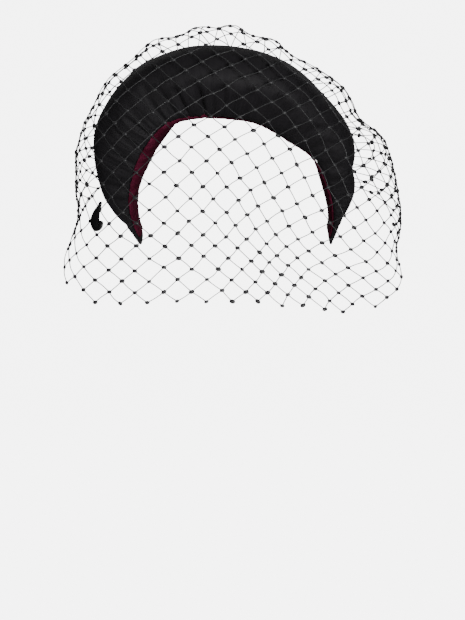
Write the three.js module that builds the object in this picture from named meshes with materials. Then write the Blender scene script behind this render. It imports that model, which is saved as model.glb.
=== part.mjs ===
// A halo headband with a birdcage veil, in the form that it has when it is worn.
// Millimetres, +Z up. The front faces -Y, and +X is on the right of somebody who looks at the front.
// The origin is the middle of the band's inner wall at the crown.
import * as THREE from 'three';

// The band's arch, measured in the leaning plane that it lies in
const arch_half_width = 80;
const arch_height = 123;
const lean_deg = 35;

// The padded tube round the arch, at its thickest
const pad_thickness = 51;
const pad_depth = 54;
const pucker_depth = 1.6;
const end_round = 7;

// The lining ribbon on the inner wall, whose back edge lies at a turn round the section, in degrees
const lining_thickness = 1.2;
const lining_back_turn = -30;
const seam_gap = 0.3;

// The net: its diamonds, its strands, and how it hangs
const net_side = 30;
const net_strand = 3;
const net_thickness = 1.3;
const net_clearance = 3.2;
const net_centre_drop = 37;
const net_shift = -4;
const net_lift = 1;
const veil_front = 70;
const veil_rise_back = 0.17;
const veil_flare = 70;
const veil_back = 74;
const veil_drop = 126;
const hem_tilt = 0.04;
const hem_curve = 14;
const hem_half_width = 150;
const last_seam_turn = 116;
const ruffle_height = 2.4;
const ruffle_count = 17;

// The fold that takes up cloth in the middle of the veil, by lengths along the two ways that its strands run
const fold_width = 36;
const fold_from = -98;
const fold_to = 32;
const fold_top = -18;
const fold_bottom = 140;
const ridge_height = 12;

// Right of the fold the diamonds sag and are spread, and above the hem they are flatter
const sag_share = 0.276;
const sag_from = -27;
const sag_shift = 34;
const sag_reach = 100;
const sag_softness = 74;
const spread_share = 0.12;
const spread_from = -9;
const spread_width = 75;
const flat_share = 0.145;
const flat_from = -102;

// The curled tab, and the place on the net where it is tied, counted in diamonds from the middle knot
const tab_length = 24;
const tab_width = 8.5;
const tab_thickness = 2.4;
const tab_rising = -3.7;
const tab_falling = -0.9;
const tab_facing = 0.6;
const knot_stand = 1.2;

// Sections of the arch, from the left end over the crown to the right end. across, rise, thick and deep are
// shares of the half width, the height, the thickness and the depth, twist opens the front of the section
// outwards, and edge is the turn round the section where the lining's front edge lies, both in degrees.
const arch_rows = [
  { across: -0.89, rise: -1.00, thick: 0.11, deep: 0.34, twist: 4, edge: 46 },
  { across: -0.95, rise: -0.855, thick: 0.20, deep: 0.46, twist: 7, edge: 50 },
  { across: -0.94, rise: -0.65, thick: 0.55, deep: 0.64, twist: 12, edge: 53 },
  { across: -0.82, rise: -0.42, thick: 0.90, deep: 0.84, twist: 17, edge: 55 },
  { across: -0.68, rise: -0.245, thick: 1.00, deep: 0.95, twist: 22, edge: 50 },
  { across: -0.49, rise: -0.085, thick: 1, deep: 1.00, twist: 19, edge: 50 },
  { across: -0.22, rise: 0, thick: 1, deep: 1.00, twist: 5, edge: 48 },
  { across: 0.06, rise: 0, thick: 1, deep: 1.00, twist: 0, edge: 30 },
  { across: 0.33, rise: -0.045, thick: 0.95, deep: 0.97, twist: 0, edge: 24 },
  { across: 0.62, rise: -0.17, thick: 0.83, deep: 0.91, twist: 0, edge: 24 },
  { across: 0.87, rise: -0.315, thick: 0.69, deep: 0.80, twist: 4, edge: 32 },
  { across: 0.97, rise: -0.49, thick: 0.55, deep: 0.70, twist: 10, edge: 42 },
  { across: 1.05, rise: -0.665, thick: 0.44, deep: 0.60, twist: 13, edge: 42 },
  { across: 1.10, rise: -0.855, thick: 0.17, deep: 0.46, twist: 8, edge: 42 },
  { across: 1.08, rise: -1.00, thick: 0.10, deep: 0.34, twist: 4, edge: 42 },
];

// Puckers where the satin is drawn in round the front lip. along is the place on the arch, from 0 at the left
// end to 1 at the right end, depth is a share of the pucker depth, and spread is a share of the arch.
const pucker_rows = [
  { along: 0.225, depth: 0.6, spread: 0.010 },
  { along: 0.31, depth: 0.9, spread: 0.010 },
  { along: 0.355, depth: 0.8, spread: 0.010 },
  { along: 0.40, depth: 0.9, spread: 0.010 },
  { along: 0.433, depth: 1.7, spread: 0.009 },
  { along: 0.475, depth: 0.7, spread: 0.012 },
  { along: 0.53, depth: 0.6, spread: 0.010 },
  { along: 0.58, depth: 0.9, spread: 0.012 },
  { along: 0.66, depth: 0.7, spread: 0.013 },
  { along: 0.74, depth: 0.6, spread: 0.012 },
];

// The rim where the net turns from the front to the back, by the angle from straight up. left and right are how
// far it stands off the pad, as shares of the flare, and back is how far back it lies, as a share of veil_back.
const rim_rows = [
  { turn: 0, left: 0.22, right: 0.22, back: -0.10 },
  { turn: 20, left: 0.21, right: 0.18, back: -0.06 },
  { turn: 40, left: 0.17, right: 0.12, back: 0.02 },
  { turn: 60, left: 0.15, right: 0.27, back: 0.12 },
  { turn: 75, left: 0.15, right: 0.20, back: 0.20 },
  { turn: 84, left: 0.16, right: 0.38, back: 0.24 },
  { turn: 92, left: 0.25, right: 0.42, back: 0.28 },
  { turn: 106, left: 0.28, right: 0.55, back: 0.32 },
  { turn: 115, left: 0.46, right: 0.66, back: 0.33 },
  { turn: 121, left: 0.69, right: 0.76, back: 0.32 },
  { turn: 127.5, left: 0.99, right: 1.04, back: 0.30 },
];

// The curled tab's outline, from its upper tip to its hooked end. aside and down are shares of the length, wide
// is a share of the width and thick of the thickness.
const tab_rows = [
  { aside: 0.13, down: 0.00, wide: 0.24, thick: 0.4 },
  { aside: 0.07, down: 0.16, wide: 0.46, thick: 0.8 },
  { aside: -0.03, down: 0.38, wide: 0.80, thick: 1.0 },
  { aside: -0.07, down: 0.62, wide: 0.98, thick: 1.0 },
  { aside: 0.03, down: 0.82, wide: 1.00, thick: 1.0 },
  { aside: 0.16, down: 0.90, wide: 0.86, thick: 0.9 },
  { aside: 0.25, down: 0.82, wide: 0.62, thick: 0.8 },
  { aside: 0.26, down: 0.72, wide: 0.30, thick: 0.4 },
];

const lean = THREE.MathUtils.degToRad(lean_deg);
const across_way = new THREE.Vector3(1, 0, 0);
const arch_up = new THREE.Vector3(0, -Math.sin(lean), Math.cos(lean));
const arch_front = new THREE.Vector3(0, -Math.cos(lean), -Math.sin(lean));
const inner_roundness = 5;
const outer_roundness = 2.15;
const rim_roundness = 2.6;
const sewn_turn = 1.3 * Math.PI;
const lip_turn = 1.25;
const lip_spread = 0.62;
const lining_ends = 0.015;

// Hermite curve through one column of a table, at x on the key column
function tableAt(rows, key, column, x) {
  const last = rows.length - 1;
  const place = THREE.MathUtils.clamp(x, rows[0][key], rows[last][key]);
  let low = 0;
  while (low < last - 1 && rows[low + 1][key] < place) {
    low += 1;
  }
  const slope = (index) => {
    const before = rows[Math.max(index - 1, 0)];
    const after = rows[Math.min(index + 1, last)];
    return (after[column] - before[column]) / (after[key] - before[key]);
  };
  const span = rows[low + 1][key] - rows[low][key];
  const t = (place - rows[low][key]) / span;
  const a = rows[low][column];
  const b = rows[low + 1][column];
  const rise = 3 * t * t - 2 * t * t * t;
  const leave = t * (1 - t) * (1 - t);
  const arrive = t * t * (t - 1);
  return a + (b - a) * rise + span * (slope(low) * leave + slope(low + 1) * arrive);
}

// Soft change from 0 at from to 1 at to, whichever of them is larger
function smooth(x, from, to) {
  const t = THREE.MathUtils.clamp((x - from) / (to - from), 0, 1);
  return t * t * (3 - 2 * t);
}

// Closed body from its points and triangles, with its faces pointing out
function body(points, triangles) {
  let volume = 0;
  for (const [a, b, c] of triangles) {
    volume += points[a].dot(new THREE.Vector3().crossVectors(points[b], points[c]));
  }
  const indices = triangles.flatMap(([a, b, c]) => (volume > 0 ? [a, b, c] : [a, c, b]));
  const geometry = new THREE.BufferGeometry().setFromPoints(points);
  geometry.setIndex(indices);
  geometry.computeVertexNormals();
  return geometry;
}

// Closed body from rings of points, each end closed round its middle
function loft(rings) {
  const sides = rings[0].length;
  const points = rings.flat();
  const triangles = [];
  for (let ring = 0; ring + 1 < rings.length; ring += 1) {
    for (let side = 0; side < sides; side += 1) {
      const next = (side + 1) % sides;
      const here = ring * sides;
      const there = here + sides;
      triangles.push([here + side, here + next, there + next], [here + side, there + next, there + side]);
    }
  }
  for (const first of [0, (rings.length - 1) * sides]) {
    const middle = new THREE.Vector3();
    for (let side = 0; side < sides; side += 1) {
      middle.addScaledVector(points[first + side], 1 / sides);
    }
    const centre = points.push(middle) - 1;
    for (let side = 0; side < sides; side += 1) {
      const next = (side + 1) % sides;
      triangles.push(first === 0 ? [centre, first + next, first + side] : [centre, first + side, first + next]);
    }
  }
  return body(points, triangles);
}

// Section of the arch

arch_rows.forEach((row, index) => {
  row.along = index / (arch_rows.length - 1);
});

// Point of the arch in its own plane: how far across and how far up
function archPlace(along) {
  return new THREE.Vector2(
    tableAt(arch_rows, 'along', 'across', along) * arch_half_width,
    tableAt(arch_rows, 'along', 'rise', along) * arch_height,
  );
}

// Section of the arch: the middle of its inner wall, its outward and forward directions, and its sizes
function archSection(along) {
  const step = 0.004;
  const before = archPlace(Math.max(along - step, 0));
  const after = archPlace(Math.min(along + step, 1));
  const way = after.sub(before).normalize();
  const place = archPlace(along);
  const seat = new THREE.Vector3().addScaledVector(across_way, place.x).addScaledVector(arch_up, place.y);
  const plain = new THREE.Vector3().addScaledVector(across_way, -way.y).addScaledVector(arch_up, way.x);
  const twist = THREE.MathUtils.degToRad(tableAt(arch_rows, 'along', 'twist', along));
  const front = arch_front.clone().multiplyScalar(Math.cos(twist)).addScaledVector(plain, Math.sin(twist));
  const out = plain.clone().multiplyScalar(Math.cos(twist)).addScaledVector(arch_front, -Math.sin(twist));
  const tangent = new THREE.Vector3().addScaledVector(across_way, way.x).addScaledVector(arch_up, way.y);
  const thick = tableAt(arch_rows, 'along', 'thick', along) * pad_thickness;
  const deep = tableAt(arch_rows, 'along', 'deep', along) * pad_depth;
  const edge = THREE.MathUtils.degToRad(tableAt(arch_rows, 'along', 'edge', along));
  return { seat, out, front, tangent, thick, deep, edge };
}

const sectionPoint = (section, r, s) =>
  section.seat.clone().addScaledVector(section.out, r).addScaledVector(section.front, s);

// How far the satin is drawn in at a place on the arch
function puckerAt(along) {
  let drawn = 0;
  for (const { along: middle, depth, spread } of pucker_rows) {
    drawn += depth * Math.exp(-(((along - middle) / spread) ** 2));
  }
  return drawn * pucker_depth;
}

// Point on the pad's skin. turn goes round the section, from 0 in the middle of the inner wall, by the front lip
// at a quarter turn, to the crest at a half turn.
function padPoint(section, turn, shrink, drawn) {
  const c = Math.cos(turn);
  const s = Math.sin(turn);
  const power = 2 / (c > 0 ? inner_roundness : outer_roundness);
  const half = section.thick / 2;
  const lip = Math.exp(-(((turn - lip_turn) / lip_spread) ** 2));
  const keep = shrink * (1 - (drawn * lip) / half);
  const r = half - half * keep * Math.sign(c) * Math.abs(c) ** power;
  const depth = (section.deep / 2) * keep * Math.sign(s) * Math.abs(s) ** power;
  return sectionPoint(section, r, depth);
}

function haloPad() {
  const stations = 74;
  const sides = 24;
  const rings = [];
  const ring = (section, shrink, drawn) => {
    const points = [];
    for (let side = 0; side < sides; side += 1) {
      points.push(padPoint(section, (2 * Math.PI * side) / sides, shrink, drawn));
    }
    return points;
  };
  const endRings = (along, way) => [0.85, 0.55].map((part) => {
    const section = archSection(along);
    section.seat.addScaledVector(section.tangent, way * end_round * part);
    return ring(section, Math.sqrt(1 - part * part), 0);
  });
  rings.push(...endRings(0, -1));
  for (let station = 0; station <= stations; station += 1) {
    const along = station / stations;
    rings.push(ring(archSection(along), 1, puckerAt(along)));
  }
  rings.push(...endRings(1, 1).reverse());
  return loft(rings);
}

// Way out of the pad's inner skin at a turn
function skinNormal(section, turn) {
  const power = 2 - 2 / inner_roundness;
  const out = -(Math.cos(turn) ** power) / section.thick;
  const front = (Math.sign(turn) * Math.abs(Math.sin(turn)) ** power) / section.deep;
  return new THREE.Vector3().addScaledVector(section.out, out).addScaledVector(section.front, front).normalize();
}

// The lining ribbon follows the pad's inner wall and turns over its front lip, a seam's gap off the satin
function liningBand() {
  const stations = 37;
  const steps = 6;
  const back = THREE.MathUtils.degToRad(lining_back_turn);
  const rings = [];
  for (let station = 0; station <= stations; station += 1) {
    const section = archSection(lining_ends + ((1 - 2 * lining_ends) * station) / stations);
    const turns = [];
    for (let step = 0; step <= steps; step += 1) {
      turns.push(back + ((section.edge - back) * step) / steps);
    }
    const layer = (places, stand) => places.map((turn) =>
      padPoint(section, turn, 1, 0).addScaledVector(skinNormal(section, turn), stand));
    rings.push([...layer(turns, seam_gap), ...layer(turns.toReversed(), seam_gap + lining_thickness)]);
  }
  return loft(rings);
}

// The veil. Its cloth is laid out flat over the front, then turned back over a rim and drawn in to the pad.

const centre_z = -net_centre_drop;
const cell_half_angle = THREE.MathUtils.degToRad(43);
const across_share = Math.cos(cell_half_angle);
const rise_share = Math.sin(cell_half_angle);

// Place on the cloth of a knot: its lengths along the strands that rise and along those that fall to the right
const clothPlace = (i, j) => [i * net_side, j * net_side];

// Soft ramp: 0 well before its start, and then as far as x is past it
function ramp(x, from, softness) {
  const past = x - from;
  if (Math.abs(past) > softness) {
    return Math.max(past, 0);
  }
  return (past + softness) ** 2 / (4 * softness);
}

// Flat place of a point of the cloth, as seen from the front: across, and up from the veil's centre
function flatPlace(rising, falling) {
  const taken = fold_width * smooth(rising, fold_from, fold_to) * smooth(falling, fold_top, fold_bottom);
  const start = sag_from + sag_shift * smooth(falling, sag_reach, 0);
  const sag = sag_share * ramp(rising, start, sag_softness);
  const spread = spread_share * THREE.MathUtils.clamp(rising - spread_from, 0, spread_width);
  const rise = net_lift + (rising - falling) * rise_share;
  const flatter = flat_share * Math.max(flat_from - centre_z - rise, 0);
  const across = net_shift + (rising + falling) * across_share;
  return new THREE.Vector2(across - taken + spread, rise - sag + flatter);
}

// Stations of the pad by their angle from straight up, seen from the front
const pad_sights = [];
for (let station = 0; station <= 60; station += 1) {
  const along = station / 60;
  const section = archSection(along);
  let reach = 0;
  for (let side = 0; side < 24; side += 1) {
    const point = padPoint(section, (2 * Math.PI * side) / 24, 1, 0);
    reach = Math.max(reach, Math.hypot(point.x, point.z - centre_z));
  }
  const middle = sectionPoint(section, section.thick / 2, 0);
  pad_sights.push({ angle: Math.atan2(middle.x, middle.z - centre_z), reach, along });
}

function padSight(angle, column) {
  return tableAt(pad_sights, 'angle', column, angle);
}

// The rim at an angle: how far out and how far back it lies
function rimAt(angle) {
  const side = angle < 0 ? 'left' : 'right';
  const corner = rim_rows[rim_rows.length - 1].turn;
  const turn = Math.min(Math.abs(THREE.MathUtils.radToDeg(angle)), corner);
  const at = (Math.sign(angle) || 1) * THREE.MathUtils.degToRad(turn);
  const reach = padSight(at, 'reach') + veil_flare * tableAt(rim_rows, 'turn', side, turn);
  const wide = Math.sin(Math.abs(at)) / Math.max(Math.sin(Math.abs(angle)), 0.2);
  const lower = Math.abs(THREE.MathUtils.radToDeg(angle)) > corner;
  return { reach: lower ? reach * Math.max(wide, 1) : reach, back: veil_back * tableAt(rim_rows, 'turn', 'back', turn) };
}

// Where the net is sewn to the back of the pad
function sewnPoint(angle) {
  const section = archSection(padSight(angle, 'along'));
  const skin = padPoint(section, sewn_turn, 1, 0);
  const middle = sectionPoint(section, section.thick / 2, 0);
  return skin.add(skin.clone().sub(middle).setLength(seam_gap + net_thickness / 2));
}

// How the cloth curls in from the rim to its seam
const turn_in_share = 0.55;
const seam_bulge = 6;

// Line of the cloth from the middle of the front, out over the rim and back to the pad, at one angle
function veilLine(angle) {
  const rim = rimAt(angle);
  const front_steps = 36;
  const back_steps = 20;
  const line = [];
  for (let step = 0; step <= front_steps; step += 1) {
    const a = (Math.PI / 2) * (step / front_steps);
    const reach = rim.reach * Math.sin(a) ** (2 / rim_roundness);
    const flat = -veil_front + veil_rise_back * reach * Math.cos(angle);
    const back = rim.back + (flat - rim.back) * Math.cos(a) ** (2 / rim_roundness);
    line.push(new THREE.Vector2(reach, back));
  }
  const sewn = sewnPoint(angle);
  const end = new THREE.Vector2(Math.hypot(sewn.x, sewn.z - centre_z), sewn.y);
  const start = line[line.length - 1];
  const curve = new THREE.CubicBezierCurve(
    start,
    new THREE.Vector2(rim.reach, (rim.back + end.y) / 2),
    new THREE.Vector2(end.x + turn_in_share * (rim.reach - end.x), end.y + seam_bulge),
    end,
  );
  line.push(...curve.getPoints(back_steps).slice(1));
  let length = 0;
  const lengths = line.map((point, index) => {
    length += index ? point.distanceTo(line[index - 1]) : 0;
    return length;
  });
  return { line, lengths, rim_length: lengths[front_steps], length };
}

// Sections that the net is kept clear of, and how far beside one of them a point may lie and still be on it
const clear_stations = 120;
const beside_section = 12;
const clear_sections = [];
for (let station = 0; station <= clear_stations; station += 1) {
  const section = archSection(station / clear_stations);
  clear_sections.push({ ...section, middle: sectionPoint(section, section.thick / 2, 0) });
}

// Push a point out of the pad, so that the net lies on it
function clearOfPad(point, clearance) {
  let nearest = null;
  let best = Infinity;
  for (const section of clear_sections) {
    const distance = point.distanceToSquared(section.middle);
    if (distance < best) {
      best = distance;
      nearest = section;
    }
  }
  const away = point.clone().sub(nearest.middle);
  const r = away.dot(nearest.out);
  const s = away.dot(nearest.front);
  if (Math.abs(away.dot(nearest.tangent)) > beside_section) {
    return point;
  }
  const power = r < 0 ? inner_roundness : outer_roundness;
  const inside = (Math.abs(r) / (nearest.thick / 2)) ** power + (Math.abs(s) / (nearest.deep / 2)) ** power;
  const across = Math.hypot(r, s);
  const skin = across / inside ** (1 / power);
  const push = Math.max(skin + clearance - across, 0) / across;
  return point.addScaledVector(nearest.out, r * push).addScaledVector(nearest.front, s * push);
}

// Waves of the cloth round the rim, from -1 to 1: short ones that crowd and spread, and longer ones between them
const short_share = 0.6;
const crowding = 1.3;
const long_share = 0.61;
function waveAt(angle) {
  const short_waves = Math.sin(angle * ruffle_count + crowding * Math.sin(3 * angle));
  const long_waves = Math.sin(angle * ruffle_count * long_share + 2);
  return short_share * short_waves + (1 - short_share) * long_waves;
}

// Shares of a line's front and back stretches over which the cloth's waves and ridge come and go
const wave_start = 0.62;
const wave_end = 0.35;

// Point of the hanging net over a point of the flat cloth, which is drawn back along its line by some length
function veilPoint(rising, falling, drawn = 0) {
  const flat = flatPlace(rising, falling);
  const angle = Math.atan2(flat.x, flat.y);
  const { line, lengths, rim_length, length } = veilLine(angle);
  const s = flat.length() - drawn;
  let low = 0;
  while (low < line.length - 2 && lengths[low + 1] < s) {
    low += 1;
  }
  const t = (s - lengths[low]) / (lengths[low + 1] - lengths[low]);
  const place = line[low].clone().lerp(line[low + 1], t);
  const way = line[low + 1].clone().sub(line[low]).normalize();
  const wave_begins = wave_start * rim_length;
  const wave_ends = length - wave_end * (length - rim_length);
  const lift = ruffle_height * waveAt(angle) * smooth(s, wave_begins, rim_length) * smooth(s, length, wave_ends);
  const fold_across = THREE.MathUtils.clamp((rising - fold_from) / (fold_to - fold_from), 0, 1);
  const ridge = ridge_height * Math.sin(Math.PI * fold_across) ** 2 * smooth(falling, fold_top, fold_bottom);
  const reach = place.x + way.y * lift;
  const back = place.y - way.x * lift - ridge * smooth(s, rim_length, wave_begins);
  return new THREE.Vector3(reach * Math.sin(angle), back, centre_z + reach * Math.cos(angle));
}

// A diamond whose middle is nearer the seam than this share of its side is left out
const last_cell_share = 0.35;

// Whether a diamond with this middle is part of the cut net
function insideCloth(rising, falling) {
  const flat = flatPlace(rising, falling);
  const angle = Math.atan2(flat.x, flat.y);
  const reach = flat.length();
  const { rim_length, length } = veilLine(angle);
  const drop = veil_drop + hem_tilt * flat.x - hem_curve * (flat.x / hem_half_width) ** 4;
  const above_hem = flat.y > -drop + (net_side * rise_share) / 2;
  const beside_end = reach < rim_length || Math.abs(angle) < THREE.MathUtils.degToRad(last_seam_turn);
  return above_hem && beside_end && reach < length - last_cell_share * net_side;
}

// Step over which the cloth's facing is measured, as a share of a diamond's side
const facing_step = 0.06;

function veilNet() {
  const span = 20;
  const cells = new Map();
  const name = (i, j) => `${i},${j}`;
  for (let i = -span; i <= span; i += 1) {
    for (let j = -span; j <= span; j += 1) {
      if (insideCloth(...clothPlace(i + 0.5, j + 0.5))) {
        cells.set(name(i, j), [i, j]);
      }
    }
  }
  const has = (i, j) => cells.has(name(i, j));
  const around = (i, j) => [has(i, j), has(i - 1, j), has(i - 1, j - 1), has(i, j - 1)].filter(Boolean).length;
  // How far an edge knot lies past the seam on the pad
  const drawnIn = (i, j) => {
    const flat = flatPlace(...clothPlace(i, j));
    const reach = flat.length();
    const { rim_length, length } = veilLine(Math.atan2(flat.x, flat.y));
    const near_seam = reach > rim_length && Math.abs(reach - length) < net_side;
    return near_seam && around(i, j) < 4 ? reach - length : 0;
  };
  const points = [];
  const index_of = new Map();
  const lift = net_thickness / 2;
  // Both faces of the net at a corner or the middle of an edge, or at a point inset from it
  const knot = (i, j, inset_i, inset_j) => {
    const key = `${i},${j},${inset_i},${inset_j}`;
    if (!index_of.has(key)) {
      const a = i + inset_i / net_side;
      const b = j + inset_j / net_side;
      const before = drawnIn(Math.floor(i), Math.floor(j));
      const after = drawnIn(Math.ceil(i), Math.ceil(j));
      const drawn = (before + after) / 2;
      const sewn = (Number(before !== 0) + Number(after !== 0)) / 2;
      const clearance = lift + seam_gap + (1 - sewn) * net_clearance;
      const centre = clearOfPad(veilPoint(...clothPlace(a, b), drawn), clearance);
      const d = facing_step;
      const along_i = veilPoint(...clothPlace(a + d, b), drawn).sub(veilPoint(...clothPlace(a - d, b), drawn));
      const along_j = veilPoint(...clothPlace(a, b + d), drawn).sub(veilPoint(...clothPlace(a, b - d), drawn));
      const normal = along_i.cross(along_j).normalize();
      index_of.set(key, points.length);
      points.push(centre.clone().addScaledVector(normal, lift), centre.clone().addScaledVector(normal, -lift));
    }
    return index_of.get(key);
  };
  const triangles = [];
  const quad = (a, b, c, d) => {
    triangles.push([a, b, c], [a, c, d]);
  };
  const half = net_strand / 2;
  for (const [i, j] of cells.values()) {
    // Eight points round the diamond, each with the corner's or edge's own place and its inset
    const ring = [
      [0, 0, 1, 1], [0.5, 0, 0, 1], [1, 0, -1, 1], [1, 0.5, -1, 0],
      [1, 1, -1, -1], [0.5, 1, 0, -1], [0, 1, 1, -1], [0, 0.5, 1, 0],
    ];
    const open = [has(i, j - 1), has(i + 1, j), has(i, j + 1), has(i - 1, j)];
    const outer = ring.map(([di, dj]) => knot(i + di, j + dj, 0, 0));
    const inner = ring.map(([di, dj, ni, nj]) => knot(i + di, j + dj, ni * half, nj * half));
    for (let side = 0; side < 8; side += 1) {
      const next = (side + 1) % 8;
      quad(outer[side], outer[next], inner[next], inner[side]);
      quad(outer[side] + 1, inner[side] + 1, inner[next] + 1, outer[next] + 1);
      quad(inner[side], inner[next], inner[next] + 1, inner[side] + 1);
      if (!open[Math.floor(side / 2)]) {
        quad(outer[next], outer[side], outer[side] + 1, outer[next] + 1);
      }
    }
  }
  return body(points, triangles);
}

// The curled tab lies on the outside of the net, beside one of its knots
function veilTab() {
  const [rising, falling] = clothPlace(tab_rising, tab_falling);
  const anchor = veilPoint(rising, falling);
  const step = facing_step * net_side;
  const across = veilPoint(rising + step, falling + step).sub(veilPoint(rising - step, falling - step));
  const rise = veilPoint(rising + step, falling - step).sub(veilPoint(rising - step, falling + step));
  const facing = across.cross(rise).normalize().addScaledVector(new THREE.Vector3(0, -1, 0), tab_facing);
  const down = rise.clone().negate().normalize();
  const side = new THREE.Vector3().crossVectors(facing, down).normalize();
  const out = new THREE.Vector3().crossVectors(down, side);
  const seat = net_thickness / 2 + knot_stand + tab_thickness / 2;
  const rows = tab_rows.map((row, index) => ({ ...row, at: index }));
  const stations = 18;
  const sides = 10;
  const spine = (at) => new THREE.Vector2(
    tableAt(rows, 'at', 'aside', at) * tab_length,
    (tableAt(rows, 'at', 'down', at) - 0.5) * tab_length,
  );
  const rings = [];
  for (let station = 0; station <= stations; station += 1) {
    const at = ((rows.length - 1) * station) / stations;
    const here = spine(at);
    const way = spine(Math.min(at + 0.05, rows.length - 1)).sub(spine(Math.max(at - 0.05, 0))).normalize();
    const wide = (tableAt(rows, 'at', 'wide', at) * tab_width) / 2;
    const thick = (tableAt(rows, 'at', 'thick', at) * tab_thickness) / 2;
    const ring = [];
    for (let step = 0; step < sides; step += 1) {
      const turn = (2 * Math.PI * step) / sides;
      const aside = here.x - way.y * wide * Math.cos(turn);
      const below = here.y + way.x * wide * Math.cos(turn);
      const lifted = seat + thick * Math.sin(turn);
      const point = anchor.clone().addScaledVector(side, aside).addScaledVector(down, below);
      ring.push(point.addScaledVector(out, lifted));
    }
    rings.push(ring);
  }
  return loft(rings);
}

const black_satin = { color: '#232225', roughness: 0.5, metalness: 0 };
const burgundy_ribbon = { color: '#3a1420', roughness: 0.65, metalness: 0 };
const black_net = { color: '#0d0d0e', roughness: 0.8, metalness: 0 };
const black_tab = { color: '#111112', roughness: 0.4, metalness: 0 };

const hat = new THREE.Group();
function piece(name, geometry, finish) {
  const mesh = new THREE.Mesh(geometry, new THREE.MeshStandardMaterial(finish));
  mesh.name = name;
  hat.add(mesh);
}

piece('halo_pad', haloPad(), black_satin);
piece('inner_band', liningBand(), burgundy_ribbon);
piece('veil_net', veilNet(), black_net);
piece('veil_tab', veilTab(), black_tab);

export default hat;
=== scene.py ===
"""Looks of a halo headband with a birdcage veil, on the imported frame. Metres, +Z up, the front faces -Y."""

import math

import bpy
import numpy as np
from mathutils import Matrix, Vector, noise


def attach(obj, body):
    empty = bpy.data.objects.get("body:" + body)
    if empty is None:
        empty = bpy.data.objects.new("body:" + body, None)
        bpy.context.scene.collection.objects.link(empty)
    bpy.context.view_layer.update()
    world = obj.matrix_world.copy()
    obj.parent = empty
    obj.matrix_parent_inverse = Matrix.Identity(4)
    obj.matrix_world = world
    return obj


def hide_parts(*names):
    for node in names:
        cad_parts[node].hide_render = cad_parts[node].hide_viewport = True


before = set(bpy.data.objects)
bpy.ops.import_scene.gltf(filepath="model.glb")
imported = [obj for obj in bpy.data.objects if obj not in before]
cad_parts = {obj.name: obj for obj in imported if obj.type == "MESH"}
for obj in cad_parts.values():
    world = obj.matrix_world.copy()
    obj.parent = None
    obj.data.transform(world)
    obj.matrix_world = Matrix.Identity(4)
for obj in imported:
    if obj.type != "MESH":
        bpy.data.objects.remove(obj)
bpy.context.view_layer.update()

# The band's arch, and the padded tube round it
ARCH_HALF_WIDTH = 0.080
ARCH_HEIGHT = 0.123
LEAN = math.radians(35)
PAD_THICKNESS = 0.051
PAD_DEPTH = 0.054
PAD_LENGTH = 0.50
PAD_GIRTH = 0.165
INNER_ROUNDNESS = 5
OUTER_ROUNDNESS = 2.15
END_ROUND = 0.007
END_SHARE = 0.03
LIP_TURN = 1.25
THIN_PAD = 0.004
THICK_PAD = 0.030

# The satin cover: its grid, how full it is cut, how far the wadding may push it out, and the turns where it
# is still held and where it is free. A turn goes round the pad, from the inner wall by the front lip.
PAD_GRID = (260, 48)
COVER_FULLNESS = 0.985
WADDING_REACH = 0.0025
HELD_TURN = 0.9
FREE_TURN = 1.3
WADDING_FRAMES = 20
WADDING = {
    "quality": 5,
    "mass": 0.3,
    "tension_stiffness": 15,
    "compression_stiffness": 15,
    "shear_stiffness": 5,
    "bending_stiffness": 0.3,
    "shrink_min": -0.035,
    "use_pressure": True,
    "uniform_pressure_force": 4,
}

# Folds and gathers of the satin: how deep they are, how often they come along and round the pad, and how far
# they spread from the lip
WIDE_FOLD_DEPTH = 0.0005
WIDE_FOLDS_OFTEN = (34, 0.5)
WIDE_FOLD_SPREAD = 0.8
PUCKER_SPREAD = 0.45
GATHER_DEPTH = 0.0003
GATHERS_OFTEN = (80, 0.7)
FINE_GATHER_DEPTH = 0.0004
FINE_GATHERS_OFTEN = (170, 1.0)
GATHER_SPREAD = 0.85
DENT_DEPTH = 0.0006
DENTS_OFTEN = 28.0

# The lining ribbon
LINING_BACK_TURN = math.radians(-30)
LINING_CLOTH = 0.0005
LINING_ENDS = 0.015
SEAM_GAP = 0.0003
STITCHES = 52
LINING_GRID = (360, 24)

# How far the ribbon stands off the pad and ripples, and how its stitches draw it down and hold its edges
LINING_STAND = 0.0003
RIPPLE_HEIGHT = 0.00085
RIPPLES_OFTEN = (46, 0.9)
STITCH_PULL = 0.0004
STITCH_SCALLOP = 0.035
EDGE_HOLD = 0.6

# The net: its true diamonds, its thread and knots, and how it hangs
NET_SIDE = 0.0150
THREAD_RADIUS = 0.00038
KNOT_SIZE = (0.0042, 0.0033, 0.0027)
NET_CLEARANCE = 0.0030
CENTRE_Z = -0.037
NET_SHIFT = -0.004
NET_LIFT = 0.001
VEIL_FRONT = 0.070
VEIL_RISE_BACK = 0.17
VEIL_FLARE = 0.070
VEIL_BACK = 0.074
VEIL_DROP = 0.126
HEM_TILT = 0.04
HEM_CURVE = 0.014
HEM_HALF_WIDTH = 0.150
LAST_SEAM_TURN = math.radians(116)
LAST_CELL_SHARE = 0.35
RUFFLE_HEIGHT = 0.0024
RUFFLE_COUNT = 17
SEWN_TURN = 1.3 * math.pi
RIM_ROUNDNESS = 2.6
MOST_CELLS = 40
PROBE_SHARE = 0.08

# How steeply the rim may hang below its last row, how the cloth turns in behind it, and how far past the
# pad's ends the cloth still lies on the pad
HANG_LIMIT = 0.2
TURN_IN_SHARE = 0.55
TURN_IN_BACK = 0.006
PAD_END_REACH = 0.012

# Waves of the net round its rim: how much of them is short and long, how the short ones crowd, how many long
# ones there are for each short one, and the shares of the cloth's length where they begin and die out
SHORT_WAVES = 0.6
LONG_WAVES = 0.4
WAVE_CROWDING = 1.3
CROWDS = 3
LONG_WAVE_COUNT = 0.61
LONG_WAVE_START = 2
WAVES_FROM = 0.62
WAVES_CALM = 0.35

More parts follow.
